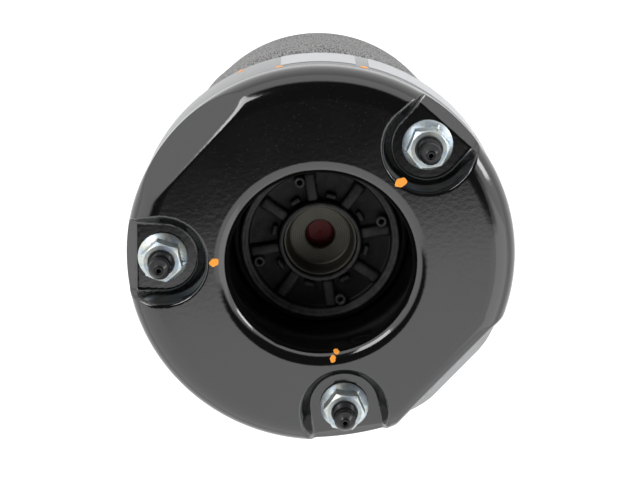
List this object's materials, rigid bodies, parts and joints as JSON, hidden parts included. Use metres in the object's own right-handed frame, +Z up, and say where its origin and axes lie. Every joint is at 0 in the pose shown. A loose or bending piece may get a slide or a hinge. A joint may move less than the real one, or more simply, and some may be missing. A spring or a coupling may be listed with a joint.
{
  "type": "air suspension strut",
  "caption": "Air suspension strut with a black pressed top mount on studs, a rolling-lobe air spring, a twin-tube damper inside it and a lower eye with a rubber bush.",
  "frame": {"origin": "centre of the seat face, the flat ring of the top plate that bears against the car body", "axes": "+Z up along the piston rod, out of the seat face; the lower bush's bolt runs along X"},
  "size_m": [0.17, 0.17, 0.501],
  "materials": {
    "plate_black": "gloss black paint with a faint orange peel",
    "stud_steel": "dark phosphate, satin",
    "nut_zinc": "bright zinc, slightly iridescent",
    "black_rubber": "matt black rubber",
    "hub_plastic": "black moulding with a fine grain",
    "core_steel": "turned steel, fine rings",
    "plug_red": "red plastic",
    "cap_aluminium": "cast and turned aluminium, satin",
    "label_white": "blank white label film",
    "fitting_brass": "turned brass",
    "collet_plastic": "dark blue plastic",
    "crimp_steel": "zinc plated steel, dull",
    "bellows_cord": "rubber over textile cord, speckled grey",
    "piston_aluminium": "satin aluminium",
    "bumper_foam": "cream cellular foam",
    "rod_chrome": "hard chrome",
    "band_brown": "bronze-filled slide band",
    "tube_black": "black dip paint, satin"
  },
  "bodies": {
    "top_mount": {"mount_plate": "plate_black", "mount_studs": "stud_steel", "flange_nuts": "nut_zinc", "mount_isolator": "black_rubber", "mount_hub": "hub_plastic", "core_sleeve": "core_steel", "core_plug": "plug_red", "core_seal": "black_rubber", "spring_cap": "cap_aluminium", "cap_labels": "label_white", "air_fitting": "fitting_brass", "fitting_collet": "collet_plastic", "fitting_oring": "black_rubber", "upper_crimp_ring": "crimp_steel", "bellows": "bellows_cord", "jounce_bumper": "bumper_foam", "bumper_cup": "tube_black", "piston_rod": "rod_chrome", "rebound_stop": "core_steel", "damper_piston": "core_steel", "piston_band": "band_brown", "piston_nut": "nut_zinc"},
    "damper_body": {"lower_crimp_ring": "crimp_steel", "rolling_piston": "piston_aluminium", "piston_adapter": "piston_aluminium", "piston_orings": "black_rubber", "piston_circlip": "crimp_steel", "striker_cap": "hub_plastic", "damper_tube": "tube_black", "rod_seal": "black_rubber", "rod_guide": "core_steel", "pressure_tube": "crimp_steel", "base_valve": "core_steel", "lower_eye": "tube_black", "bush_outer_sleeve": "crimp_steel", "bush_rubber": "black_rubber"},
    "bush_sleeve": {"bush_inner_sleeve": "nut_zinc"}
  },
  "joints": [
    {"name": "strut_stroke", "type": "slide", "parent": "top_mount", "child": "damper_body", "axis": [0, 0, 1], "range_m": [-0.06, 0.045], "stiffness_N_per_m": 8000, "deforming": ["bellows"]},
    {"name": "bush_twist", "type": "hinge", "parent": "damper_body", "child": "bush_sleeve", "pos_m": [0, 0, -0.464], "axis": [1, 0, 0], "range_deg": [-15, 15], "stiffness_Nm_per_rad": 20}
  ]
}
